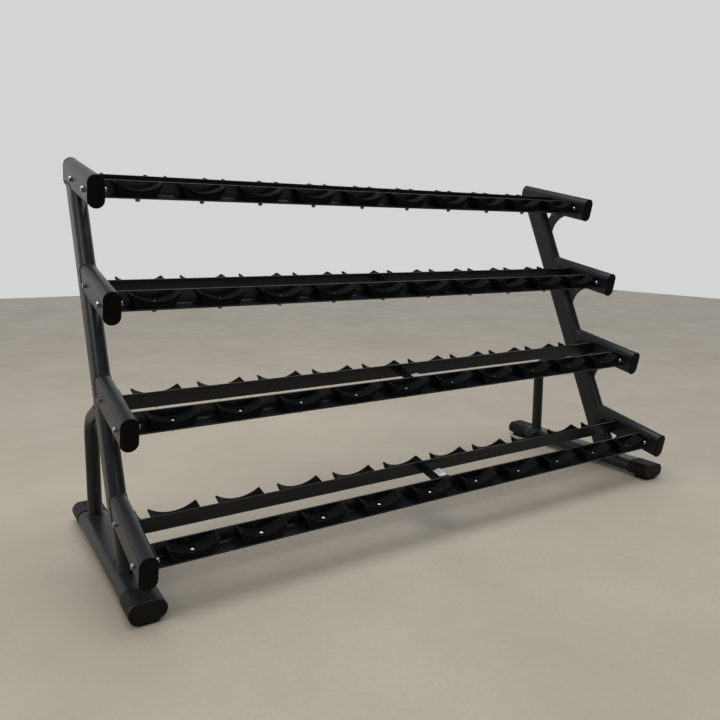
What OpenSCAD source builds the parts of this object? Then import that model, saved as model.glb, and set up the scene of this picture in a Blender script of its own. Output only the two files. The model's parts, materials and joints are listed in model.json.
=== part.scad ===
// Four-tier dumbbell rack: two leaning end frames joined by four pairs of angle rails that carry saddles.
// Origin: on the floor, under the middle of the rack. +X runs along the rails, +Y points to the back.

/* [Rack] */
// Distance between the centre planes of the two end frames
frame_spacing = 2580; // [1800:10:3000]
// Lean of the uprights, back from vertical
lean = 24; // [18:1:28]
// Slope of the arms, down towards the front
tilt = 12; // [8:1:15]
// Height from one arm to the next
tier_rise = 400; // [380:5:440]
// Height of the lowest arm's front end above the floor
low_arm_height = 183.5; // [180:0.5:200]

/* [Tubes] */
// Width of the flat-sided oval tube in arms and uprights
tube_width = 60; // [60:1:60]
// Height of the arm tube
arm_depth = 120; // [120:1:120]
// Depth of the upright tube
upright_depth = 120; // [100:1:125]
// Wall of all the frame tubes
tube_wall = 3; // [2:0.5:4]
// Length of the arms that end on an upright, measured into the upright
short_arm_length = 440; // [430:1:450]
// Length of the top arm
top_arm_length = 488; // [470:1:500]
// Distance from the lowest arm's front end to the upright's front, square to the upright
upright_setback = 282; // [278:1:290]
// Diameter of the rear brace
brace_diameter = 57; // [50:1:60]
// Centre-line radius of the brace's bend
brace_bend_radius = 120; // [100:5:140]
// Position of the brace's foot, behind the lowest arm's front end
brace_y = 838; // [800:1:850]
// Height at which the brace meets the upright, along the upright from the lowest arm's front end
brace_along = 617; // [560:1:640]

/* [Feet] */
// Width of the foot tube
foot_width = 120; // [120:1:120]
// Height of the foot tube
foot_depth = 60; // [60:1:60]
// Underside of the foot tube above the floor
foot_clearance = 16.5; // [14:0.5:20]
// Front end of the front boot, behind the lowest arm's front end
foot_front = 25; // [10:1:30]
// Back end of the rear boot
foot_back = 1010; // [980:1:1020]
// Length of a boot
boot_length = 115; // [100:1:130]
// Wall of a boot
boot_wall = 3.5; // [2.5:0.5:4]

/* [Rails] */
// Leg of the angle rails
rail_leg = 60; // [50:1:60]
// Thickness of the angle rails
rail_thickness = 5; // [4:0.5:6]
// Front rail's upright leg, back face, along the arm
front_leg_face = 112; // [108:1:116]
// Clear gap between the two rails' upright legs
rail_gap = 140; // [130:1:150]
// Thickness of the rails' end plates
end_plate = 6; // [5:1:8]
// Distance from a rail's upright leg to its mounting bolt
bolt_setback = 46; // [44:1:48]
// Height of the mounting bolts above the arm's centre line; negative is below it
bolt_rise = -1.5; // [-3:0.5:3]

/* [Saddles] */
// Saddles on each rail
saddle_count = 10; // [4:1:10]
// Distance between saddles
saddle_pitch = 250; // [240:1:255]
// Half width of a saddle at its foot
saddle_foot = 65; // [60:1:70]
// Half width of a saddle at its tips
saddle_tip = 88; // [80:1:90]
// Width of the flat on top of each tip
saddle_land = 4; // [2:1:6]
// Height of the blunt end under each tip
saddle_blunt = 7; // [4:1:12]
// Height of the tips above the rail's bottom leg
saddle_height = 54; // [50:1:60]
// Material left under the cradle's lowest point
saddle_floor = 26; // [22:1:28]
// Depth of a saddle, front to back
saddle_depth = 52; // [45:1:54]
// Diameter of the bolt pocket in a saddle
pocket_diameter = 28; // [26:1:30]
// Depth from the cradle's lowest point to the pocket's floor
pocket_depth = 8; // [7:1:12]

/* [Tie brackets] */
// Width of a bracket along the rails
bracket_width = 98; // [80:1:120]
// Thickness of the bracket's plate
bracket_thickness = 4; // [3:0.5:5]
// Height of the bracket's lips
bracket_lip = 44; // [30:1:50]
// Distance of the brackets from the middle of the rails
bracket_offset = 14; // [0:1:20]
// Height of the bracket's plate above the rails' bottom edges
bracket_rise = 4; // [0:1:10]
// Width of the blank label
label_width = 43; // [40:1:60]
// Length of the blank label on the plate
label_length = 57; // [40:1:60]

/* [Hidden] */
SIDES = ["left", "right"];
TIERS = [1, 2, 3, 4];
$fn = 48;
eps = 1;

steel = [0.13, 0.14, 0.16];
rail_black = [0.06, 0.06, 0.065];
black_plastic = [0.03, 0.03, 0.03];
zinc = [0.75, 0.76, 0.78];

half_spacing = frame_spacing / 2;
half_tube = tube_width / 2;
half_arm = arm_depth / 2;
inner_face = half_spacing - half_tube;
upright_centre = upright_setback + upright_depth / 2;
upright_back = upright_setback + upright_depth;
foot_top = foot_clearance + foot_depth;
foot_centre = foot_clearance + foot_depth / 2;
back_leg_face = front_leg_face + rail_gap;

// Tier 1 is the top one; each tier's front end sits on a line parallel to the uprights.
tier_run = tier_rise * tan(lean);
function tier_y(tier) = (len(TIERS) - tier) * tier_run;
function tier_z(tier) = low_arm_height + (len(TIERS) - tier) * tier_rise;

// Middle of the rack's depth: the top arm's back end and the lowest arm's front end are the extremes.
depth_middle = (tier_y(1) + top_arm_length * cos(tilt)) / 2;

// Fasteners
arm_bolt = 12;
arm_hole = 13;
arm_head_flats = 19;
arm_head_height = 8;
arm_washer_diameter = 24;
arm_washer_height = 2.5;
arm_nut_diameter = 21;
arm_nut_height = 17;
saddle_bolt = 10;
saddle_hole = 11;
saddle_head_diameter = 18;
saddle_head_height = 6.5;
saddle_socket_flats = 6;
saddle_nut_flats = 17;
saddle_nut_height = 12;
saddle_flange_diameter = 22;
saddle_flange_height = 2;
bolt_tail = 3;

// Blunt edge left where an arm's side wall runs out against the upright's round front
cope_land = 2;

// Seam rings at the ends of the rear brace's bend
seam_length = 1;
seam_proud = 0.3;

// Caps on the ends of the arm tubes
cap_flange = 4;
cap_edge = 1.5;
cap_overhang = 1;
cap_plug = 18;
cap_gap = 0.3;

// Gussets under the arms
gusset_thickness = 6;
gusset_front = 150;
gusset_drop = 185;
gusset_arc_radius = 118;
gusset_arc_a = 103;
gusset_arc_b = -168;
gusset_notch = 51;

// Soles of the boots; the top lies inside the sleeve's wall
sole_top = foot_clearance + 2.5;
sole_width = 96;
sole_length = 84;
sole_inset = 8;
sole_radius = 28;

// ---- Frames of reference ----

module rack_frame() { translate([0, -depth_middle, 0]) children(); }

// Each side frame is drawn as the left one about its own centre plane, with +X towards the rack's middle.
module side_frame(side) {
    mirror([side == "left" ? 0 : 1, 0, 0]) translate([-half_spacing, 0, 0]) rack_frame() children();
}

// Arm frame: Y runs back along the arm from its front end, Z is square to the arm.
module arm_frame(tier) { translate([0, tier_y(tier), tier_z(tier)]) rotate([tilt, 0, 0]) children(); }

// Upright frame: Z runs up along the upright, Y is square to it, from the lowest arm's front end.
module upright_frame() { translate([0, 0, low_arm_height]) rotate([-lean, 0, 0]) children(); }

module tier_frame(tier) { rack_frame() arm_frame(tier) children(); }

// ---- Shared shapes ----

module oval(w, h) {
    r = min(w, h) / 2;
    square([w > h ? w - h : w, h > w ? h - w : h], center = true);
    for (s = [-1, 1]) translate([w > h ? s * (w / 2 - r) : 0, h > w ? s * (h / 2 - r) : 0]) circle(r);
}

module oval_bar_y(w, h, from, to) {
    translate([0, from, 0]) rotate([-90, 0, 0]) linear_extrude(to - from) oval(w, h);
}

module rounded_rect(size, r) {
    square([size.x - 2 * r, size.y], center = true);
    square([size.x, size.y - 2 * r], center = true);
    for (i = [-1, 1], j = [-1, 1]) translate([i * (size.x / 2 - r), j * (size.y / 2 - r)]) circle(r);
}

module cylinder_x(d, from, to) { translate([from, 0, 0]) rotate([0, 90, 0]) cylinder(h = to - from, d = d); }

module hexagon_x(flats, from, to) {
    translate([from, 0, 0]) rotate([0, 90, 0]) cylinder(h = to - from, d = flats / cos(30), $fn = 6);
}

// ---- Positions ----

module at_arm_bolts(tier) {
    for (a = [front_leg_face - rail_thickness - bolt_setback, back_leg_face + rail_thickness + bolt_setback])
        translate([0, a, bolt_rise]) children();
}

module at_saddles() {
    for (i = [0:saddle_count - 1]) translate([(i - (saddle_count - 1) / 2) * saddle_pitch, 0, 0]) children();
}

// Runs the children in a rail's own frame: Y is 0 on the open face of the upright leg and grows over the
// bottom leg, Z is 0 on top of the bottom leg.
module rail_frame(row) {
    y = row == "front" ? front_leg_face - rail_thickness : back_leg_face + rail_thickness;
    translate([0, y, rail_thickness - rail_leg / 2]) mirror([0, row == "front" ? 1 : 0, 0]) children();
}

// ---- Side frames ----

module upright_outer(from, to) {
    upright_frame() translate([0, upright_centre, from]) linear_extrude(to - from) oval(tube_width, upright_depth);
}

module arm_outer(tier, from, to) { arm_frame(tier) oval_bar_y(tube_width, arm_depth, from, to); }

module below_foot_top() {
    translate([-foot_width, -eps, foot_top - 2 * low_arm_height])
        cube([2 * foot_width, foot_back, 2 * low_arm_height]);
}

module foot_tube() {
    color(steel) translate([0, 0, foot_centre]) difference() {
        oval_bar_y(foot_width, foot_depth, foot_front + boot_wall, foot_back - boot_wall);
        oval_bar_y(foot_width - 2 * tube_wall, foot_depth - 2 * tube_wall, foot_front, foot_back);
    }
}

module upright() {
    low = -low_arm_height;
    high = (len(TIERS) + 1) * tier_rise;
    color(steel) difference() {
        upright_outer(low, high);
        upright_frame() translate([0, upright_centre, low - eps]) linear_extrude(high - low + 2 * eps)
            oval(tube_width - 2 * tube_wall, upright_depth - 2 * tube_wall);
        below_foot_top();
        arm_outer(1, 0, 2 * top_arm_length);
        arm_frame(1) translate([-tube_width, 0, half_tube - half_arm])
            cube([2 * tube_width, 2 * top_arm_length, 2 * tier_rise]);
    }
}

module arm(tier) {
    tube_end = tier == 1 ? top_arm_length - cap_flange : short_arm_length;
    color(steel) difference() {
        arm_frame(tier) difference() {
            oval_bar_y(tube_width, arm_depth, cap_flange, tube_end);
            oval_bar_y(tube_width - 2 * tube_wall, arm_depth - 2 * tube_wall, cap_flange - eps, tube_end + eps);
            at_arm_bolts(tier) cylinder_x(arm_hole, -tube_width, tube_width);
        }
        if (tier > 1) {
            upright_outer(-low_arm_height, len(TIERS) * tier_rise);
            upright_frame() translate([-tube_width, upright_setback + half_tube - cope_land, -low_arm_height])
                cube([2 * tube_width, short_arm_length, 2 * len(TIERS) * tier_rise]);
        }
    }
}

module brace_ring(extra = 0) {
    difference() {
        circle(d = brace_diameter + extra);
        circle(d = brace_diameter - 2 * tube_wall - extra);
    }
}

// Straight up from the foot, round the bend, then straight on into the upright's back. Each end of the bend
// has a narrow seam ring that stands a hair proud of the tube.
module rear_brace() {
    $fn = 96;
    bend = 90 - lean;
    rise_point = (brace_along - brace_y * sin(lean)) / cos(lean) + low_arm_height;
    bend_start = rise_point - brace_bend_radius * tan(bend / 2);
    bend_end_y = brace_y - brace_bend_radius * (1 - cos(bend));
    reach = (bend_end_y - upright_centre * cos(lean) - brace_along * sin(lean)) / cos(lean);
    color(steel) {
        translate([0, brace_y, foot_top]) linear_extrude(bend_start - seam_length - foot_top) brace_ring();
        translate([0, brace_y, bend_start - seam_length]) linear_extrude(seam_length) brace_ring(seam_proud);
        translate([0, brace_y - brace_bend_radius, bend_start]) {
            rotate([90, 0, 90]) rotate_extrude(angle = bend) translate([brace_bend_radius, 0]) brace_ring();
            rotate([bend, 0, 0]) translate([0, brace_bend_radius, 0])
                linear_extrude(seam_length) brace_ring(seam_proud);
        }
        difference() {
            translate([0, brace_y - brace_bend_radius, bend_start]) rotate([bend, 0, 0])
                translate([0, brace_bend_radius, seam_length]) linear_extrude(reach) brace_ring();
            upright_outer(-low_arm_height, len(TIERS) * tier_rise);
        }
    }
}

module gussets() { for (tier = TIERS) gusset(tier); }

// A plate under the arm with a scooped front edge and a round notch cut out of the corner.
module gusset(tier) {
    overlap = 4;
    corner = (upright_setback - half_arm * sin(tilt + lean)) / cos(tilt + lean);
    color(steel) difference() {
        arm_frame(tier) rotate([90, 0, 90]) translate([0, 0, -gusset_thickness / 2])
            linear_extrude(gusset_thickness) difference() {
                polygon([[gusset_front, overlap - half_arm], [corner + overlap, overlap - half_arm],
                    [corner - (gusset_drop - half_arm) * tan(tilt + lean) + overlap, -gusset_drop],
                    [gusset_arc_a, -gusset_drop]]);
                translate([gusset_arc_a, gusset_arc_b]) circle(gusset_arc_radius, $fn = 96);
                translate([corner, -half_arm]) circle(gusset_notch, $fn = 96);
            }
        arm_outer(tier, 0, top_arm_length);
        upright_outer(-low_arm_height, (len(TIERS) + 1) * tier_rise);
        below_foot_top();
    }
}

module arm_cap() {
    color(black_plastic) {
        overhang = 2 * cap_overhang;
        inset = 2 * (tube_wall + cap_gap);
        oval_bar_y(tube_width + overhang, arm_depth + overhang, cap_edge, cap_flange);
        oval_bar_y(tube_width - overhang, arm_depth - overhang, 0, cap_edge);
        oval_bar_y(tube_width - inset, arm_depth - inset, cap_flange, cap_flange + cap_plug);
    }
}

module arm_caps() {
    for (tier = TIERS) arm_frame(tier) arm_cap();
    arm_frame(1) translate([0, top_arm_length, 0]) mirror([0, 1, 0]) arm_cap();
}

// A sleeve over the end of the foot tube, closed at the outer end, on a sole with rounded corners.
module boot(end) {
    width = foot_width + 2 * boot_wall;
    depth = foot_depth + 2 * boot_wall;
    color(black_plastic) translate([0, end == "front" ? foot_front : foot_back, 0])
        mirror([0, end == "front" ? 0 : 1, 0]) difference() {
            union() {
                translate([0, 0, foot_centre]) oval_bar_y(width, depth, 0, boot_length);
                translate([0, sole_inset + sole_length / 2, 0]) linear_extrude(sole_top)
                    rounded_rect([sole_width, sole_length], sole_radius);
            }
            translate([0, 0, foot_centre]) oval_bar_y(foot_width, foot_depth, boot_wall, boot_length + eps);
        }
}

// ---- Fasteners of the side frames ----

module arm_bolts() {
    face = -half_tube - arm_washer_height;
    color(zinc) for (tier = TIERS) arm_frame(tier) at_arm_bolts(tier) {
        hexagon_x(arm_head_flats, face - arm_head_height, face);
        cylinder_x(arm_bolt, face, half_tube + end_plate + arm_nut_height - 2 * bolt_tail);
    }
}

module arm_washers() {
    color(zinc) for (tier = TIERS) arm_frame(tier) at_arm_bolts(tier) difference() {
        cylinder_x(arm_washer_diameter, -half_tube - arm_washer_height, -half_tube);
        cylinder_x(arm_bolt, -half_tube - 2 * arm_washer_height, 0);
    }
}

// Smooth domed cap nuts against the rails' end plates.
module arm_nuts() {
    collar = 6;
    color(zinc) for (tier = TIERS) arm_frame(tier) at_arm_bolts(tier) translate([half_tube + end_plate, 0, 0])
        rotate([0, 90, 0]) rotate_extrude() difference() {
            intersection() {
                square([arm_nut_diameter / 2, arm_nut_height]);
                union() {
                    square([arm_nut_diameter / 2, collar]);
                    translate([0, collar]) circle(arm_nut_height - collar, $fn = 64);
                }
            }
            square([arm_bolt / 2, arm_nut_height - 2 * bolt_tail]);
        }
}

// ---- Tiers ----

module rail(tier, row) {
    length = 2 * (inner_face - end_plate);
    plate_drop = (rail_leg - rail_thickness) / 2;
    free_edge = rail_leg - rail_thickness;
    plate_reach = free_edge + 12;
    plate_radius = 10;
    color(rail_black) tier_frame(tier) rail_frame(row) {
        difference() {
            union() {
                translate([-length / 2, -rail_thickness, -rail_thickness]) cube([length, rail_thickness, rail_leg]);
                translate([-length / 2, 0, -rail_thickness]) cube([length, free_edge, rail_thickness]);
            }
            at_saddles() translate([0, saddle_depth / 2, -2 * rail_thickness])
                cylinder(h = 3 * rail_thickness, d = saddle_hole);
        }
        for (s = [-1, 1]) translate([s * (inner_face - end_plate / 2), 0, 0]) difference() {
            rotate([90, 0, 90]) translate([0, 0, -end_plate / 2]) linear_extrude(end_plate) {
                translate([-rail_thickness, -rail_thickness])
                    square([plate_reach - plate_radius + rail_thickness, rail_leg]);
                translate([plate_reach - 2 * plate_radius, plate_drop - rail_thickness / 2])
                    rounded_rect([2 * plate_radius + plate_radius, rail_leg], plate_radius);
            }
            translate([0, bolt_setback, bolt_rise + plate_drop - rail_thickness / 2])
                cylinder_x(arm_hole, -end_plate, end_plate);
        }
    }
}

// A cradle with splayed sides and narrow blunt tips, pocketed for its bolt.
module saddle() {
    rise = saddle_height - saddle_floor;
    half_cradle = saddle_tip - saddle_land;
    cradle_radius = (half_cradle * half_cradle + rise * rise) / (2 * rise);
    shoulder = saddle_height - saddle_blunt;
    difference() {
        rotate([90, 0, 0]) translate([0, 0, -saddle_depth]) linear_extrude(saddle_depth) difference() {
            polygon([[-saddle_foot, 0], [saddle_foot, 0], [saddle_tip, shoulder], [saddle_tip, saddle_height],
                [-saddle_tip, saddle_height], [-saddle_tip, shoulder]]);
            translate([0, saddle_floor + cradle_radius]) circle(cradle_radius, $fn = 128);
        }
        translate([0, saddle_depth / 2, saddle_floor - pocket_depth])
            cylinder(h = saddle_height, d = pocket_diameter);
        translate([0, saddle_depth / 2, -eps]) cylinder(h = saddle_height, d = saddle_hole);
    }
}

module saddles(tier, row) { color(black_plastic) tier_frame(tier) rail_frame(row) at_saddles() saddle(); }

module at_saddle_bolts(tier) {
    for (row = ["front", "back"])
        tier_frame(tier) rail_frame(row) at_saddles() translate([0, saddle_depth / 2, 0]) children();
}

module saddle_bolts(tier) {
    seat = saddle_floor - pocket_depth;
    color(zinc) at_saddle_bolts(tier) {
        translate([0, 0, seat]) difference() {
            rotate_extrude() intersection() {
                square([saddle_head_diameter / 2, saddle_head_height]);
                translate([0, saddle_head_height - saddle_head_diameter]) circle(saddle_head_diameter, $fn = 96);
            }
            translate([0, 0, saddle_head_height / 2])
                cylinder(h = saddle_head_height, d = saddle_socket_flats / cos(30), $fn = 6);
        }
        tail = rail_thickness + saddle_nut_height + bolt_tail;
        translate([0, 0, -tail]) cylinder(h = tail + seat, d = saddle_bolt);
    }
}

// Flange lock nuts under the rails' bottom legs.
module saddle_nuts(tier) {
    color(zinc) at_saddle_bolts(tier) translate([0, 0, -rail_thickness - saddle_nut_height]) difference() {
        union() {
            translate([0, 0, saddle_nut_height - saddle_flange_height])
                cylinder(h = saddle_flange_height, d = saddle_flange_diameter);
            cylinder(h = saddle_nut_height, d = saddle_nut_flats / cos(30), $fn = 6);
        }
        translate([0, 0, -eps]) cylinder(h = saddle_nut_height + 2 * eps, d = saddle_bolt);
    }
}

// A U-shaped plate low between the two rails of a tier, with its lips against their upright legs.
module tie_bracket(tier) {
    color(rail_black) tier_frame(tier)
        translate([bracket_offset - bracket_width / 2, front_leg_face, bracket_rise - rail_leg / 2]) {
            cube([bracket_width, rail_gap, bracket_thickness]);
            for (y = [0, rail_gap - bracket_thickness])
                translate([0, y, 0]) cube([bracket_width, bracket_thickness, bracket_lip]);
        }
}

// Flat labels near the right end of each bracket's plate.
module tier_labels() {
    sheet = 0.5;
    label_margin = 4;
    color("white") for (tier = TIERS) tier_frame(tier)
        translate([
            bracket_offset + bracket_width / 2 - label_width - label_margin,
            back_leg_face - bracket_thickness - label_length,
            bracket_rise + bracket_thickness - rail_leg / 2
        ])
            cube([label_width, label_length, sheet]);
}

for (side = SIDES) {
    side_frame(side) foot_tube();
    side_frame(side) upright();
    side_frame(side) rear_brace();
    side_frame(side) gussets();
    side_frame(side) arm_caps();
    side_frame(side) boot("front");
    side_frame(side) boot("rear");
    side_frame(side) arm_bolts();
    side_frame(side) arm_washers();
    side_frame(side) arm_nuts();
    for (tier = TIERS) side_frame(side) arm(tier);
}
for (tier = TIERS) {
    for (row = ["front", "back"]) {
        rail(tier, row);
        saddles(tier, row);
    }
    saddle_bolts(tier);
    saddle_nuts(tier);
    tie_bracket(tier);
}
tier_labels();
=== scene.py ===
"""Looks for the four-tier dumbbell rack.

Materials, softened edges, moulded caps and boots, weld beads, rail roots, label print and the stage.
"""

import json
import math
import random

import bpy
from mathutils import Matrix, Vector


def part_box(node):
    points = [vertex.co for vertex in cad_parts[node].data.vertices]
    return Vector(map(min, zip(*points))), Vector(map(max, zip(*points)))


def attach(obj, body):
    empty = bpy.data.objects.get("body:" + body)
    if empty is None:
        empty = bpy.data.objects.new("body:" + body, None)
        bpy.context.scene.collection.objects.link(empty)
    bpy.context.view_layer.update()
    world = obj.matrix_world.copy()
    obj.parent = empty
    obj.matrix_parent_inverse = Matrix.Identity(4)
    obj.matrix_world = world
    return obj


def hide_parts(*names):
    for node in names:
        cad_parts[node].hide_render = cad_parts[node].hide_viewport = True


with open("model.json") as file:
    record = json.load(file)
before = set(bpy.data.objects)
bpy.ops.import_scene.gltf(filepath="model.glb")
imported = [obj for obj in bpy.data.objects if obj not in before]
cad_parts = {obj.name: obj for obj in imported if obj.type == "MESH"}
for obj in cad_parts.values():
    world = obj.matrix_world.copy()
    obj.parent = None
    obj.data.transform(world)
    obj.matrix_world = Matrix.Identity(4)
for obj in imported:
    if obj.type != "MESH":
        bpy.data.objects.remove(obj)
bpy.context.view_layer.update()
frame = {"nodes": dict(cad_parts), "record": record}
NODES = frame["nodes"]

MM = 0.001
TILT = math.radians(12)          # slope of the arms
LEAN = math.radians(24)          # lean of the uprights
TUBE = 60 * MM                   # width of the arm and upright tubes
ARM_DEPTH = 120 * MM
UPRIGHT_DEPTH = 120 * MM
UPRIGHT_SETBACK = 282 * MM       # square distance from the lowest arm's front end to the upright
TUBE_WALL = 3 * MM
CAP_FLANGE = 4 * MM
CAP_OVERHANG = 1 * MM            # of a cap's flange past the tube, all round
CAP_PLUG = 18 * MM
CAP_EDGE = 3 * MM                # radius of a cap's edge
CAP_BULGE = 0.8 * MM             # height of a cap's crowned face
PLUG_LEAD_IN = 1.2 * MM
PLUG_CLEARANCE = 0.3 * MM
BOOT_TOE = 0.9 * MM              # radius round a boot's end face
BOOT_MOUTH = 1.2 * MM            # radius of a boot's rolled mouth
RIB_COUNT = 12
RIB_PITCH = 7.5 * MM
RIB_HEIGHT = 0.9 * MM
RIB_START = 9 * MM               # from a boot's end face
RIB_PANEL_DEPTH = 0.7 * MM       # from the sleeve's top to the ribs' tops
SOLE_WIDTH = 96 * MM
SOLE_LENGTH = 84 * MM
SOLE_INSET = 8 * MM              # from a boot's end face
SOLE_CORNER = 28 * MM
SOLE_HEIGHT = 19 * MM            # up to inside the sleeve
RAIL_LEG = 60 * MM
RAIL_THICKNESS = 5 * MM
RAIL_ROOT = 8 * MM               # radius of the rolled corner inside a rail
FRONT_LEG_FACE = 112 * MM        # back face of the front rail's upright leg, along the arm
RAIL_GAP = 140 * MM
SADDLE_PITCH = 250 * MM
SADDLE_FOOT = 130 * MM           # width of a saddle where it stands on the rail
SADDLE_COUNT = 10
BRACE_RADIUS = 28.5 * MM
ARM_BEAD_OFFSET = 0.2 * MM       # from a tube's surface to the middle of its weld bead
FOOT_BEAD_OFFSET = 0.4 * MM
BRACE_BEAD_OFFSET = 0.3 * MM
BEAD_STEP = 2.2 * MM
BRACKET_OFFSET = 14 * MM         # from the middle of the rails to the middle of a tie bracket
BRACKET_WIDTH = 98 * MM
BRACKET_THICKNESS = 4 * MM
BRACKET_RISE = 4 * MM            # from the rails' bottom edges to the bracket's plate
LABEL_WIDTH = 43 * MM
LABEL_MARGIN = 4 * MM
LABEL_SHEET = 0.5 * MM
INK = 0.12 * MM
SIDES = ("left", "right")
TIERS = (1, 2, 3, 4)
ROWS = ("front", "back")


# ---- Materials ----

class Shader:
    """A node material with short calls for the textures that the finishes share."""

    def __init__(self, name):
        self.material = bpy.data.materials.new(name)
        self.material.use_nodes = True
        self.tree = self.material.node_tree
        self.tree.nodes.clear()
        output = self.tree.nodes.new("ShaderNodeOutputMaterial")
        self.bsdf = self.tree.nodes.new("ShaderNodeBsdfPrincipled")
        self.link(self.bsdf.outputs["BSDF"], output.inputs["Surface"])
        coordinates = self.tree.nodes.new("ShaderNodeTexCoord")
        self.place = coordinates.outputs["Object"]
        self.geometry = self.tree.nodes.new("ShaderNodeNewGeometry")

    def link(self, source, target):
        self.tree.links.new(source, target)

    def set(self, **values):
        """Constant values for sockets of the main shader; an underscore stands for a space."""
        for name, value in values.items():
            self.bsdf.inputs[name.replace("_", " ")].default_value = value

    def noise(self, scale, detail=2.0, roughness=0.5, stretch=(1, 1, 1)):
        """Smooth noise, with its scale in features per metre."""
        mapping = self.tree.nodes.new("ShaderNodeMapping")
        mapping.inputs["Scale"].default_value = stretch
        self.link(self.place, mapping.inputs["Vector"])
        node = self.tree.nodes.new("ShaderNodeTexNoise")
        node.inputs["Scale"].default_value = scale
        node.inputs["Detail"].default_value = detail
        node.inputs["Roughness"].default_value = roughness
        self.link(mapping.outputs["Vector"], node.inputs["Vector"])
        return node.outputs["Fac"]

    def cells(self, scale):
        """Round pits, with their scale in pits per metre."""
        node = self.tree.nodes.new("ShaderNodeTexVoronoi")
        node.inputs["Scale"].default_value = scale
        self.link(self.place, node.inputs["Vector"])
        return node.outputs["Distance"]

    def remap(self, value, low, high, to_low, to_high):
        node = self.tree.nodes.new("ShaderNodeMapRange")
        node.inputs["From Min"].default_value = low
        node.inputs["From Max"].default_value = high
        node.inputs["To Min"].default_value = to_low
        node.inputs["To Max"].default_value = to_high
        self.link(value, node.inputs["Value"])
        return node.outputs["Result"]

    def math(self, operation, first, second):
        """A sum or a product of sockets or numbers; a product is kept between 0 and 1."""
        node = self.tree.nodes.new("ShaderNodeMath")
        node.operation = operation
        node.use_clamp = operation == "MULTIPLY"
        for socket, value in zip(node.inputs, (first, second)):
            if isinstance(value, (int, float)):
                socket.default_value = value
            else:
                self.link(value, socket)
        return node.outputs["Value"]

    def mix(self, factor, first, second):
        node = self.tree.nodes.new("ShaderNodeMix")
        node.data_type = "RGBA"
        self.link(factor, node.inputs["Factor"])
        for socket, value in zip(node.inputs[6:8], (first, second)):
            if isinstance(value, tuple):
                socket.default_value = (*value, 1)
            else:
                self.link(value, socket)
        return node.outputs[2]

    def facing_up(self):
        """1 on faces that look straight up, 0 on walls and undersides."""
        split = self.tree.nodes.new("ShaderNodeSeparateXYZ")
        self.link(self.geometry.outputs["Normal"], split.inputs["Vector"])
        return self.remap(split.outputs["Z"], 0.35, 1.0, 0.0, 1.0)

    def worn_and_highlit_edges(self, spread):
        """1 along convex edges, from the difference between the true and a rounded normal; it marks
        edge wear and painted edge highlights.
        """
        bevel = self.tree.nodes.new("ShaderNodeBevel")
        bevel.samples = 4
        bevel.inputs["Radius"].default_value = spread
        dot = self.tree.nodes.new("ShaderNodeVectorMath")
        dot.operation = "DOT_PRODUCT"
        self.link(bevel.outputs["Normal"], dot.inputs[0])
        self.link(self.geometry.outputs["Normal"], dot.inputs[1])
        return self.remap(dot.outputs["Value"], 0.99, 0.88, 0.0, 1.0)

    def bump(self, *layers):
        """Layers are (height, distance in metres, strength), coarse first."""
        normal = None
        for height, distance, strength in layers:
            node = self.tree.nodes.new("ShaderNodeBump")
            node.inputs["Distance"].default_value = distance
            node.inputs["Strength"].default_value = strength
            self.link(height, node.inputs["Height"])
            if normal is not None:
                self.link(normal, node.inputs["Normal"])
            normal = node.outputs["Normal"]
        self.link(normal, self.bsdf.inputs["Normal"])


def scaled(color, factor):
    return tuple(channel * factor for channel in color)


def powder_coat(name, color, edge_wear_and_highlight_color, dust_color, roughness, shine):
    """Satin powder coat: orange peel, fine grain, lighter edges (partly a thinner coat, partly a
    painted highlight) and a little dust on what faces up.
    """
    s = Shader(name)
    mottle = s.remap(s.noise(7, 4), 0.3, 0.7, 0.0, 1.0)
    shade = s.mix(mottle, scaled(color, 0.94), scaled(color, 1.06))
    speckle = s.remap(s.noise(900, 2), 0.62, 0.75, 0.0, 0.35)
    shade = s.mix(speckle, shade, scaled(color, 1.9))
    patches = s.remap(s.noise(45, 4, 0.6), 0.35, 0.65, 0.35, 0.8)
    # Lighter convex edges: partly a thinner coat, partly a painted highlight where rounded edges
    # catch the light.
    edge = s.math("MULTIPLY", s.worn_and_highlit_edges(1.6 * MM), patches)
    shade = s.mix(edge, shade, edge_wear_and_highlight_color)
    drifts = s.remap(s.noise(24, 6, 0.65), 0.35, 0.75, 0.4, 1.0)
    dust = s.math("MULTIPLY", s.math("MULTIPLY", s.facing_up(), drifts), DUST_COVER)
    s.link(s.mix(dust, shade, dust_color), s.bsdf.inputs["Base Color"])
    uneven = s.remap(s.noise(14, 5, 0.6), 0.3, 0.7, roughness - 0.02, roughness + 0.02)
    s.link(s.math("ADD", uneven, s.math("MULTIPLY", dust, 0.5)), s.bsdf.inputs["Roughness"])
    s.bump((s.noise(170, 2), 0.0002, 0.2), (s.noise(1300, 2), 0.00012, 0.5))
    s.set(Specular_IOR_Level=shine)
    return s.material


def moulded_plastic(name, color, roughness, shine, grain, rub_and_highlight_color, rubbing_and_highlight_amount):
    """Moulded black plastic: spark-eroded grain, faint flow marks and lighter edges, partly rubbing
    and partly a painted highlight.
    """
    s = Shader(name)
    flow = s.remap(s.noise(11, 5, 0.6, (1, 2.5, 1)), 0.3, 0.7, 0.0, 1.0)
    shade = s.mix(flow, scaled(color, 0.8), scaled(color, 1.25))
    patches = s.remap(s.noise(60, 4, 0.6), 0.35, 0.65, 0.2, 1.0)
    # Lighter edges: partly rubbing, partly a painted highlight along the rims.
    edge = s.math("MULTIPLY", s.worn_and_highlit_edges(2 * MM), patches)
    s.link(s.mix(s.math("MULTIPLY", edge, rubbing_and_highlight_amount), shade, rub_and_highlight_color), s.bsdf.inputs["Base Color"])
    uneven = s.remap(s.noise(35, 4, 0.6), 0.3, 0.7, roughness - 0.07, roughness + 0.07)
    s.link(uneven, s.bsdf.inputs["Roughness"])
    s.bump((s.noise(90, 3), 0.0003, 0.15), (s.cells(grain), 0.00018, 0.55))
    s.set(Specular_IOR_Level=shine)
    return s.material


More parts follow.
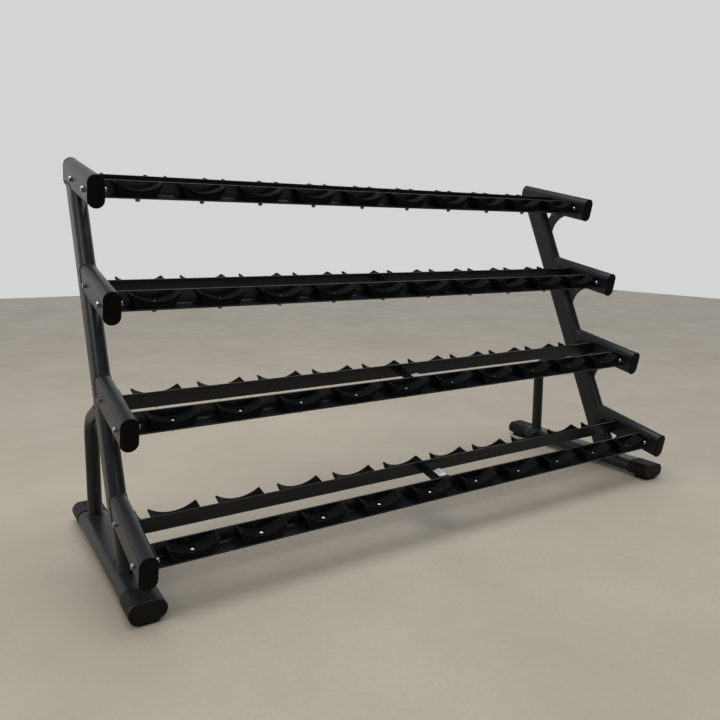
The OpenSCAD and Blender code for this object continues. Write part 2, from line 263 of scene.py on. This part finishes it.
def zinc_plate(name, dull, bright):
    """Zinc plate: a metal with cloudy roughness and fine tumbling marks."""
    s = Shader(name)
    cloud = s.remap(s.noise(120, 4, 0.6), 0.3, 0.7, 0.0, 1.0)
    s.link(s.mix(cloud, dull, bright), s.bsdf.inputs["Base Color"])
    s.link(s.remap(s.noise(260, 4, 0.6), 0.3, 0.7, 0.12, 0.26), s.bsdf.inputs["Roughness"])
    s.bump((s.noise(1500, 2, 0.5, (1, 1, 4)), 0.00006, 0.4))
    s.set(Metallic=1.0)
    return s.material


def label_film(name, color):
    """Printed film under a thin gloss coat, with faint creases."""
    s = Shader(name)
    s.link(s.mix(s.noise(300, 3), scaled(color, 0.92), color), s.bsdf.inputs["Base Color"])
    s.link(s.remap(s.noise(90, 3), 0.3, 0.7, 0.28, 0.42), s.bsdf.inputs["Roughness"])
    s.bump((s.noise(45, 3), 0.0003, 0.3))
    s.set(Coat_Weight=0.3)
    return s.material


def pale_floor(name):
    """Pale sealed floor: soft mottling and a low sheen."""
    s = Shader(name)
    broad = s.remap(s.noise(0.9, 6, 0.6), 0.3, 0.7, 0.0, 1.0)
    shade = s.mix(broad, (0.40, 0.35, 0.275), (0.48, 0.43, 0.347))
    fine = s.remap(s.noise(55, 5, 0.7), 0.45, 0.75, 0.0, 0.35)
    s.link(s.mix(fine, shade, (0.34, 0.30, 0.245)), s.bsdf.inputs["Base Color"])
    s.link(s.remap(s.noise(3, 5, 0.6), 0.3, 0.7, 0.42, 0.62), s.bsdf.inputs["Roughness"])
    s.bump((s.noise(40, 4, 0.6), 0.0008, 0.15))
    return s.material


DUST_COVER = 0.03
BLACK = (0.004, 0.0051, 0.0078)
BLACK_DUST = (0.12, 0.115, 0.11)
CHARCOAL = powder_coat(
    "charcoal_powder_coat", (0.0085, 0.0092, 0.0112), edge_wear_and_highlight_color=(0.03, 0.031, 0.034),
    dust_color=(0.13, 0.12, 0.11), roughness=0.34, shine=0.32)
# The rails' edge colour, far lighter than the coat, is a painted highlight along their rounded edges,
# with a little edge wear.
BLACK_COAT = powder_coat(
    "black_powder_coat", BLACK, edge_wear_and_highlight_color=(0.20, 0.203, 0.21),
    dust_color=BLACK_DUST, roughness=0.28, shine=0.34)
ROOT_COAT = powder_coat(
    "rail_root_powder_coat", BLACK, edge_wear_and_highlight_color=BLACK,
    dust_color=BLACK_DUST, roughness=0.28, shine=0.34)
# The saddles' lighter edge colour is a painted highlight along the cradles' front rims.
SADDLE = moulded_plastic(
    "saddle_plastic", (0.004, 0.0041, 0.0045), roughness=0.58, shine=0.05, grain=1400,
    rub_and_highlight_color=(0.11, 0.11, 0.11), rubbing_and_highlight_amount=0.6)
CAP = moulded_plastic(
    "cap_plastic", (0.0025, 0.0025, 0.0024), roughness=0.5, shine=0.08, grain=1700,
    rub_and_highlight_color=(0.035, 0.035, 0.035), rubbing_and_highlight_amount=0.35)
# The boots' lighter edge colour is partly scuffing, partly a painted sheen along the end faces' rims.
BOOT = moulded_plastic(
    "boot_rubber", (0.0035, 0.0034, 0.0033), roughness=0.47, shine=0.17, grain=1100,
    rub_and_highlight_color=(0.17, 0.165, 0.16), rubbing_and_highlight_amount=0.7)
ZINC = zinc_plate("zinc_plate", (0.20, 0.203, 0.21), (0.38, 0.383, 0.395))
# A darker copy of the zinc plate: painted shade for the nuts that sit under the rails.
SHADED_ZINC = zinc_plate("shaded_zinc_plate", (0.07, 0.071, 0.074), (0.13, 0.132, 0.137))
LABEL = label_film("label_film", (0.88, 0.88, 0.87))
LABEL_BAND = label_film("label_band", (0.42, 0.03, 0.025))
LABEL_LINES = label_film("label_lines", (0.13, 0.13, 0.14))
FLOOR = pale_floor("pale_floor")

FINISHES = {
    "powder_coated_steel": CHARCOAL,
    "rail_steel": BLACK_COAT,
    "cap_plastic": CAP,
    "boot_rubber": BOOT,
    "saddle_plastic": SADDLE,
    "zinc_hardware": ZINC,
    "label_film": LABEL,
}


# ---- Mesh helpers ----

def make_piece(name, vertices, faces, material):
    """A smooth-shaded mesh that rides with the rack."""
    mesh = bpy.data.meshes.new(name)
    mesh.from_pydata([tuple(v) for v in vertices], [], faces)
    mesh.validate()
    mesh.shade_smooth()
    mesh.set_sharp_from_angle(angle=math.radians(40))
    mesh.materials.append(material)
    piece = bpy.data.objects.new(name, mesh)
    bpy.context.scene.collection.objects.link(piece)
    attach(piece, "root")
    return piece


def ring_faces(ring_count, ring_size, closed=False):
    """Quads between rings of the same size, laid one after another."""
    faces = []
    for i in range(ring_count if closed else ring_count - 1):
        first = i * ring_size
        second = ((i + 1) % ring_count) * ring_size
        for j in range(ring_size):
            k = (j + 1) % ring_size
            faces.append((first + j, first + k, second + k, second + j))
    return faces


def loft(rings):
    """Vertices and faces of a closed skin through rings of points, with a flat end at each end."""
    size = len(rings[0])
    vertices = [point for ring in rings for point in ring]
    faces = ring_faces(len(rings), size)
    faces.append(tuple(reversed(range(size))))
    faces.append(tuple(range(len(vertices) - size, len(vertices))))
    return vertices, faces


def add_loft(vertices, faces, rings):
    """Adds a closed skin through rings of points to a growing mesh."""
    new_vertices, new_faces = loft(rings)
    faces += [tuple(index + len(vertices) for index in face) for face in new_faces]
    vertices += new_vertices


def flipped(faces):
    """The same faces, seen from the other side."""
    return [tuple(reversed(face)) for face in faces]


def quarter_turn(steps):
    """Angles from 0 to a right angle, with both ends."""
    return [math.pi / 2 * i / steps for i in range(steps + 1)]


def full_turn(steps):
    """Angles all the way round, with the start and without the end."""
    return [2 * math.pi * i / steps for i in range(steps)]


def oval_outline(width, height, inset, arc_steps, flat_steps):
    """Points round a flat-sided oval, anticlockwise, in its own two directions."""
    w, h = width - 2 * inset, height - 2 * inset
    r = min(w, h) / 2
    along_x = w > h
    half_flat = abs(w - h) / 2
    points = []
    for end in (1, -1):
        for i in range(arc_steps + 1):
            angle = math.pi * i / arc_steps - math.pi / 2
            across, out = r * math.sin(angle), half_flat + r * math.cos(angle)
            points.append((end * out, end * across) if along_x else (-end * across, end * out))
        for i in range(1, flat_steps):
            slide = half_flat * (1 - 2 * i / flat_steps)
            points.append((end * slide, end * r) if along_x else (-end * r, end * slide))
    return points


def rounded_outline(width, length, corner, shrink):
    """Points round a rectangle with round corners, anticlockwise."""
    steps = 8
    points = []
    for number, (sx, sy) in enumerate(((1, 1), (-1, 1), (-1, -1), (1, -1))):
        cx, cy = sx * (width / 2 - corner), sy * (length / 2 - corner)
        for i in range(steps + 1):
            angle = math.pi / 2 * (number + i / steps)
            reach = corner - shrink
            points.append((cx + reach * math.cos(angle), cy + reach * math.sin(angle)))
    return points


def soften(node, width):
    """Rounds the sharp edges of a CAD node with modifiers, and leaves its own points in place."""
    mesh = node.data
    if "custom_normal" in mesh.attributes:
        mesh.attributes.remove(mesh.attributes["custom_normal"])
    mesh.shade_smooth()
    weld = node.modifiers.new("weld", "WELD")
    weld.merge_threshold = 1e-5
    flat = node.modifiers.new("flat_faces", "DECIMATE")
    flat.decimate_type = "DISSOLVE"
    flat.angle_limit = math.radians(0.3)
    bevel = node.modifiers.new("soft_edges", "BEVEL")
    bevel.width = width
    bevel.segments = 2
    bevel.limit_method = "ANGLE"
    bevel.angle_limit = math.radians(30)
    bevel.harden_normals = True


# ---- Frames of reference ----

def arm_origin(side, tier):
    """Front end of an arm's centre line, worked out from the arm tube's box."""
    low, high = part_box(f"{side}_arm_{tier}")
    y = low.y - CAP_FLANGE * math.cos(TILT) + ARM_DEPTH / 2 * math.sin(TILT)
    z = low.z - CAP_FLANGE * math.sin(TILT) + ARM_DEPTH / 2 * math.cos(TILT)
    return Vector(((low.x + high.x) / 2, y, z))


def tier_origin(tier):
    """The same point of a tier's arms, midway between the end frames."""
    origin = arm_origin("left", tier)
    origin.x = 0
    return origin


def arm_point(origin, x, along, up):
    """A point given along an arm from its front end, and square to it."""
    return origin + Vector((x, along * math.cos(TILT) - up * math.sin(TILT),
                            along * math.sin(TILT) + up * math.cos(TILT)))


def upright_point(base, x, square, along):
    """A point given square to an upright and along it, from the lowest arm's front end."""
    return base + Vector((x, square * math.cos(LEAN) + along * math.sin(LEAN),
                          -square * math.sin(LEAN) + along * math.cos(LEAN)))


# ---- End caps ----

def arm_cap(name, origin, end, direction):
    """A push-in cap: a soft-edged flange, a faintly crowned face and a plug with a lead-in.

    The profile is a list of a distance along the arm and an inset from the flange's outline.
    """
    plug = CAP_OVERHANG + TUBE_WALL + PLUG_CLEARANCE
    plug_end = CAP_FLANGE + CAP_PLUG
    profile = [(plug_end, plug + PLUG_LEAD_IN), (plug_end - 2 * MM, plug),
               (CAP_FLANGE, plug), (CAP_FLANGE, 0.3 * MM), (CAP_FLANGE - 0.5 * MM, 0.0)]
    for turn in quarter_turn(8):
        profile.append((CAP_EDGE * (1 - math.sin(turn)), CAP_EDGE * (1 - math.cos(turn))))
    face_steps = 6
    for i in range(1, face_steps + 1):
        spread = i / face_steps
        inset = CAP_EDGE + spread * (TUBE / 2 - CAP_EDGE)
        profile.append((-CAP_BULGE * math.sin(spread * math.pi / 2), inset))
    width, height = TUBE + 2 * CAP_OVERHANG, ARM_DEPTH + 2 * CAP_OVERHANG
    rings = []
    for along, inset in profile:
        outline = oval_outline(width, height, inset, arc_steps=20, flat_steps=6)
        rings.append([arm_point(origin, x, end + direction * along, up) for x, up in outline])
    vertices, faces = loft(rings)
    if direction < 0:
        faces = flipped(faces)
    return make_piece(name, vertices, faces, CAP)


def arm_caps(side):
    """The caps on the four front ends, and on the back end of the top arm."""
    caps = [arm_cap(f"{side}_arm_cap_{tier}", arm_origin(side, tier), 0.0, 1) for tier in TIERS]
    tube_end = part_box(f"{side}_arm_1")[1].y
    top = arm_origin(side, 1)
    length = (tube_end - top.y - ARM_DEPTH / 2 * math.sin(TILT)) / math.cos(TILT) + CAP_FLANGE
    caps.append(arm_cap(f"{side}_arm_cap_back", top, length, -1))
    for cap in caps:
        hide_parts(f"{side}_arm_caps")


# ---- Boots ----

def smooth_step(value, low, high):
    """0 below one value, 1 above another, and a soft rise between them."""
    t = min(1.0, max(0.0, (value - low) / (high - low)))
    return t * t * (3 - 2 * t)


def rib_panel_depth(y, x):
    """Depth of the ribbed panel below a boot's top, at distances from its end and its middle."""
    across = 1 - smooth_step(abs(x), 24 * MM, 28 * MM)
    phase = (y - RIB_START) / RIB_PITCH
    if not 0 <= phase <= RIB_COUNT:
        return 0.0
    groove = smooth_step(math.cos(phase * 2 * math.pi), -0.5, 0.5)
    return across * (RIB_PANEL_DEPTH + RIB_HEIGHT * groove)


def boot_profile(length, height, wall):
    """Distances from a boot's end face with insets from its outline, round to the inside."""
    profile = [(0.0, height / 2 - 1 * MM), (0.0, height / 4)]
    for turn in quarter_turn(8):
        profile.append((BOOT_TOE * (1 - math.cos(turn)), BOOT_TOE * (1 - math.sin(turn))))
    sleeve_steps = 100
    sleeve = length - BOOT_TOE - 1.5 * MM
    for i in range(1, sleeve_steps):
        profile.append((BOOT_TOE + sleeve * i / sleeve_steps, 0.0))
    for turn in quarter_turn(4):
        profile.append((length - BOOT_MOUTH + BOOT_MOUTH * math.sin(turn),
                        BOOT_MOUTH * (1 - math.cos(turn))))
    return profile + [(length, wall), (wall, wall)]


def boot(side, end):
    """A moulded boot: a sleeve with a sunk panel of grip ribs on its top, and a sole."""
    node = f"{side}_{end}_boot"
    low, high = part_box(node)
    tube_low, tube_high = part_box(f"{side}_foot_tube")
    centre_x = (low.x + high.x) / 2
    centre_z = (tube_low.z + tube_high.z) / 2
    width = high.x - low.x
    height = 2 * (high.z - centre_z)
    wall = (width - (tube_high.x - tube_low.x)) / 2

    rings = []
    for y, inset in boot_profile(high.y - low.y, height, wall):
        ring = []
        for x, z in oval_outline(width, height, inset, arc_steps=18, flat_steps=16):
            lift = -rib_panel_depth(y, x) if z > 0 and inset == 0.0 else 0.0
            run = low.y + y if end == "front" else high.y - y
            ring.append(Vector((centre_x + x, run, centre_z + z + lift)))
        rings.append(ring)
    vertices, faces = loft(rings)
    if end == "rear":
        faces = flipped(faces)

    inset = SOLE_INSET + SOLE_LENGTH / 2
    sole_y = low.y + inset if end == "front" else high.y - inset
    sole_rings = []
    for z, shrink in ((SOLE_HEIGHT, 0.0), (2.5 * MM, 0.0), (0.8 * MM, 0.7 * MM), (0.0, 2.5 * MM)):
        outline = rounded_outline(SOLE_WIDTH, SOLE_LENGTH, SOLE_CORNER, shrink)
        sole_rings.append([Vector((centre_x + x, sole_y + y, z)) for x, y in outline])
    add_loft(vertices, faces, sole_rings)
    piece = make_piece(f"{node}_moulding", vertices, faces, BOOT)
    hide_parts(node)


# ---- Welds ----

def weld_bead(name, path, radius, seed):
    """A rippled bead along a closed path of points."""
    random.seed(seed)
    points = resample(path, BEAD_STEP)
    count = len(points)
    sides = 8
    ripple, unevenness = 0.16, 0.06
    vertices = []
    normal = None
    for i, point in enumerate(points):
        tangent = (points[(i + 1) % count] - points[i - 1]).normalized()
        if normal is None:
            normal = tangent.orthogonal().normalized()
        normal = (normal - tangent * normal.dot(tangent)).normalized()
        side = tangent.cross(normal)
        swell = 1 + ripple * math.sin(i * 2 * math.pi / 3) + random.uniform(-unevenness, unevenness)
        for angle in full_turn(sides):
            outward = normal * math.cos(angle) + side * math.sin(angle)
            vertices.append(point + outward * radius * swell)
    faces = ring_faces(count, sides, closed=True)
    make_piece(name, vertices, faces, CHARCOAL)


def resample(path, spacing):
    """Points at even spacing along a closed path."""
    corners = list(path) + [path[0]]
    lengths = [(b - a).length for a, b in zip(corners, corners[1:])]
    total = sum(lengths)
    count = max(8, round(total / spacing))
    points, piece, walked = [], 0, 0.0
    for i in range(count):
        target = total * i / count
        while piece < len(lengths) - 1 and walked + lengths[piece] < target:
            walked += lengths[piece]
            piece += 1
        share = (target - walked) / max(lengths[piece], 1e-9)
        points.append(corners[piece].lerp(corners[piece + 1], min(1.0, share)))
    return points


def crown(x):
    """Depth of a tube's round crown at a distance from its centre plane."""
    r = TUBE / 2
    return math.sqrt(max(0.0, r * r - x * x))


def weld_arm(side, tier):
    """Where an arm's end meets the round front of the upright."""
    origin = arm_origin(side, tier)
    slope = TILT + LEAN
    path = []
    for x, up in oval_outline(TUBE, ARM_DEPTH, -ARM_BEAD_OFFSET, arc_steps=24, flat_steps=12):
        square = UPRIGHT_SETBACK + TUBE / 2 - crown(x)
        path.append(arm_point(origin, x, (square + up * math.sin(slope)) / math.cos(slope), up))
    return path


def weld_top(side):
    """Where the upright's end meets the round underside of the top arm."""
    origin = arm_origin(side, 1)
    slope = TILT + LEAN
    centre = UPRIGHT_SETBACK + UPRIGHT_DEPTH / 2
    path = []
    for x, offset in oval_outline(TUBE, UPRIGHT_DEPTH, -ARM_BEAD_OFFSET, arc_steps=24, flat_steps=8):
        square = centre + offset
        up = -(ARM_DEPTH / 2 - TUBE / 2) - crown(x)
        path.append(arm_point(origin, x, (square + up * math.sin(slope)) / math.cos(slope), up))
    return path


def weld_foot(base, foot_top):
    """Where the upright stands on the flat top of the foot tube."""
    centre = UPRIGHT_SETBACK + UPRIGHT_DEPTH / 2
    path = []
    for x, offset in oval_outline(TUBE, UPRIGHT_DEPTH, -FOOT_BEAD_OFFSET, arc_steps=24, flat_steps=8):
        square = centre + offset
        along = (foot_top - base.z + square * math.sin(LEAN)) / math.cos(LEAN)
        path.append(upright_point(base, x, square, along))
    return path


def weld_brace_foot(side, foot_top):
    """Where the brace stands on the flat top of the foot tube."""
    low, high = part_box(f"{side}_rear_brace")
    centre = Vector(((low.x + high.x) / 2, high.y - BRACE_RADIUS, foot_top))
    radius = BRACE_RADIUS + BRACE_BEAD_OFFSET
    return [centre + Vector((math.cos(turn), math.sin(turn), 0)) * radius for turn in full_turn(48)]


def weld_brace_top(side, base):
    """Where the brace's end meets the round back of the upright."""
    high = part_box(f"{side}_rear_brace")[1]
    # The brace's topmost point lies on the upright's back, one radius past its centre line.
    back = UPRIGHT_SETBACK + UPRIGHT_DEPTH
    along = (high.z - base.z + back * math.sin(LEAN)) / math.cos(LEAN) - BRACE_RADIUS
    radius = BRACE_RADIUS + BRACE_BEAD_OFFSET
    path = []
    for turn in full_turn(64):
        x, up = radius * math.cos(turn), radius * math.sin(turn)
        square = back - TUBE / 2 + crown(x)
        path.append(upright_point(base, x, square, along + up))
    return path


def welds(side):
    """All the beads of one end frame."""
    base = arm_origin(side, 4)
    foot_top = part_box(f"{side}_foot_tube")[1].z
    for tier in (2, 3, 4):
        weld_bead(f"{side}_weld_arm_{tier}", weld_arm(side, tier), radius=2.6 * MM, seed=tier)
    weld_bead(f"{side}_weld_top_arm", weld_top(side), radius=2.8 * MM, seed=11)
    weld_bead(f"{side}_weld_upright_foot", weld_foot(base, foot_top), radius=4.2 * MM, seed=12)
    weld_bead(f"{side}_weld_brace_foot", weld_brace_foot(side, foot_top), radius=4.2 * MM, seed=13)
    weld_bead(f"{side}_weld_brace_upright", weld_brace_top(side, base), radius=3.0 * MM, seed=14)


# ---- Rails ----

def rail_fillets(tier, row):
    """The rolled inside corner of an angle rail, seen between the saddles."""
    origin = tier_origin(tier)
    if row == "front":
        direction, corner = -1, FRONT_LEG_FACE - RAIL_THICKNESS
    else:
        direction, corner = 1, FRONT_LEG_FACE + RAIL_GAP + RAIL_THICKNESS
    level = RAIL_THICKNESS - RAIL_LEG / 2
    end_plate = 6 * MM
    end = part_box(f"tier_{tier}_{row}_rail")[1].x - end_plate
    centres = [(i - (SADDLE_COUNT - 1) / 2) * SADDLE_PITCH for i in range(SADDLE_COUNT)]
    starts = [-end] + [c + SADDLE_FOOT / 2 for c in centres]
    stops = [c - SADDLE_FOOT / 2 for c in centres] + [end]
    outline = [(0.0, 0.0)]
    for turn in quarter_turn(6):
        outline.append((RAIL_ROOT * (1 - math.sin(turn)), RAIL_ROOT * (1 - math.cos(turn))))
    vertices, faces = [], []
    for start, stop in zip(starts, stops):
        add_loft(vertices, faces, [
            [arm_point(origin, x, corner + direction * out, level + up) for out, up in outline]
            for x in (start, stop)])
    make_piece(f"tier_{tier}_{row}_rail_root", vertices, faces, ROOT_COAT)


# ---- Labels ----

def label_bars(name, tier, bars, material):
    """Flat printed bars, by their left and right ends and distances from the label's rear end."""
    origin = tier_origin(tier)
    rear = FRONT_LEG_FACE + RAIL_GAP - BRACKET_THICKNESS
    top = BRACKET_RISE + BRACKET_THICKNESS + LABEL_SHEET - RAIL_LEG / 2
    vertices, faces = [], []
    for x0, x1, back, front in bars:
        outline = [(x0, rear - front), (x1, rear - front), (x1, rear - back), (x0, rear - back)]
        add_loft(vertices, faces, [
            [arm_point(origin, x, along, up) for x, along in outline] for up in (top, top + INK)])
    make_piece(name, vertices, faces, material)


def label_print(tier):
    """A coloured band and a few plain bars, in place of the label's print."""
    right = BRACKET_OFFSET + BRACKET_WIDTH / 2 - LABEL_MARGIN
    left = right - LABEL_WIDTH
    label_bars(f"tier_{tier}_label_band", tier, [(left, left + 19 * MM, 0.0, 8 * MM)], LABEL_BAND)
    label_bars(f"tier_{tier}_label_lines", tier, [
        (left + 5 * MM, right - 6 * MM, 14 * MM, 18 * MM),
        (left + 5 * MM, right - 16 * MM, 23 * MM, 25 * MM),
        (left + 5 * MM, right - 10 * MM, 30 * MM, 32 * MM),
        (left + 5 * MM, right - 22 * MM, 37 * MM, 39 * MM),
    ], LABEL_LINES)


# ---- CAD nodes: finishes and soft edges ----

EDGE_WIDTHS = {
    "rail_steel": 1.6 * MM,
    "saddle_plastic": 1.6 * MM,
    "zinc_hardware": 0.6 * MM,
    "powder_coated_steel": 0.5 * MM,
}


def dress_cad_nodes():
    """Gives every CAD node its finish and soft edges; the nuts under the rails get a darker copy of
    the zinc, which is painted shade.
    """
    slots = {part["node"]: part["material_slot"] for part in frame["record"]["subparts"]}
    for name, node in NODES.items():
        slot = slots[name]
        node.data.materials.clear()
        # The nuts under the rails get the darker zinc: painted shade.
        node.data.materials.append(SHADED_ZINC if name.endswith("saddle_nuts") else FINISHES[slot])
        if slot in EDGE_WIDTHS:
            soften(node, EDGE_WIDTHS[slot])


# ---- Stage ----

def floor():
    half = 12.0
    corners = [(-half, -half, 0), (half, -half, 0), (half, half, 0), (-half, half, 0)]
    mesh = bpy.data.meshes.new("floor")
    mesh.from_pydata(corners, [], [(0, 1, 2, 3)])
    mesh.materials.append(FLOOR)
    plane = bpy.data.objects.new("floor", mesh)
    bpy.context.scene.collection.objects.link(plane)


def area_light(name, place, target, size, power, color=(1, 1, 1)):
    data = bpy.data.lights.new(name, "AREA")
    data.shape = "RECTANGLE"
    data.size, data.size_y = size
    data.energy = power
    data.color = color
    light = bpy.data.objects.new(name, data)
    bpy.context.scene.collection.objects.link(light)
    light.location = place
    view = Vector(target) - Vector(place)
    light.rotation_euler = view.to_track_quat("-Z", "Y").to_euler()


def sky_light(power, slopes, spread):
    """A broad sun from nearly straight above; the slopes and the spread are in degrees."""
    data = bpy.data.lights.new("sky_light", "SUN")
    data.energy = power
    data.angle = math.radians(spread)
    light = bpy.data.objects.new("sky_light", data)
    bpy.context.scene.collection.objects.link(light)
    light.rotation_euler = (math.radians(slopes[0]), math.radians(slopes[1]), 0)


def world_mix(tree, axis, low, high, near, far):
    """A colour, or another mix, that turns into a second one between two places on an axis."""
    place = tree.nodes.new("ShaderNodeTexCoord")
    split = tree.nodes.new("ShaderNodeSeparateXYZ")
    share = tree.nodes.new("ShaderNodeMapRange")
    share.interpolation_type = "SMOOTHSTEP"
    share.inputs["From Min"].default_value = low
    share.inputs["From Max"].default_value = high
    blend = tree.nodes.new("ShaderNodeMix")
    blend.data_type = "RGBA"
    tree.links.new(place.outputs["Generated"], split.inputs["Vector"])
    tree.links.new(split.outputs[axis], share.inputs["Value"])
    tree.links.new(share.outputs["Result"], blend.inputs["Factor"])
    for socket, value in zip(blend.inputs[6:8], (near, far)):
        if isinstance(value, tuple):
            socket.default_value = (*value, 1)
        else:
            tree.links.new(value, socket)
    return blend.outputs[2]


def studio():
    """A bright wall behind the rack, a dimmer room in front and above, and soft lights."""
    world = bpy.data.worlds.new("studio")
    world.use_nodes = True
    tree = world.node_tree
    front, back, above = (0.20, 0.205, 0.21), (0.655, 0.665, 0.665), (0.20, 0.205, 0.215)
    walls = world_mix(tree, "Y", -0.25, 0.35, front, back)
    room = world_mix(tree, "Z", 0.36, 0.75, walls, above)
    tree.links.new(room, tree.nodes["Background"].inputs["Color"])
    bpy.context.scene.world = world
    sky_light(1.15, (6, -8), 70)
    area_light("overhead", (0.2, 0.2, 4.2), (0, 0, 0.6), (4.6, 2.4), 75)
    area_light("left_window", (-3.8, -0.6, 2.5), (-1.2, 0.1, 1.3), (1.0, 1.4), 21,
               (1.0, 0.99, 0.97))
    area_light("front_fill", (-1.0, -4.6, 2.6), (0, 0, 0.8), (2.4, 1.2), 15,
               (0.92, 0.96, 1.0))


def camera():
    """The viewing angle: low, in front of the left end, looking along the rails."""
    place = Vector((-1.8033, -2.5561, 1.2366))
    yaw, pitch, roll = math.radians(32.04), math.radians(7.92), math.radians(0.45)
    forward = Vector((math.sin(yaw) * math.cos(pitch), math.cos(yaw) * math.cos(pitch),
                      -math.sin(pitch)))
    level = Vector((math.cos(yaw), -math.sin(yaw), 0))
    above = level.cross(forward)
    right = level * math.cos(roll) + above * math.sin(roll)
    up = above * math.cos(roll) - level * math.sin(roll)
    data = bpy.data.cameras.new("camera")
    data.sensor_width = 36
    data.lens = 34.23
    data.shift_y = -0.0404
    data.clip_end = 60
    eye = bpy.data.objects.new("camera", data)
    bpy.context.scene.collection.objects.link(eye)
    eye.matrix_world = Matrix(((right.x, up.x, -forward.x, place.x),
                               (right.y, up.y, -forward.y, place.y),
                               (right.z, up.z, -forward.z, place.z),
                               (0, 0, 0, 1)))
    bpy.context.scene.camera = eye


dress_cad_nodes()
for side in SIDES:
    arm_caps(side)
    welds(side)
    boot(side, "front")
    boot(side, "rear")
for tier in TIERS:
    label_print(tier)
    for row in ROWS:
        rail_fillets(tier, row)
floor()
studio()
camera()
bpy.context.scene.view_settings.view_transform = "Standard"
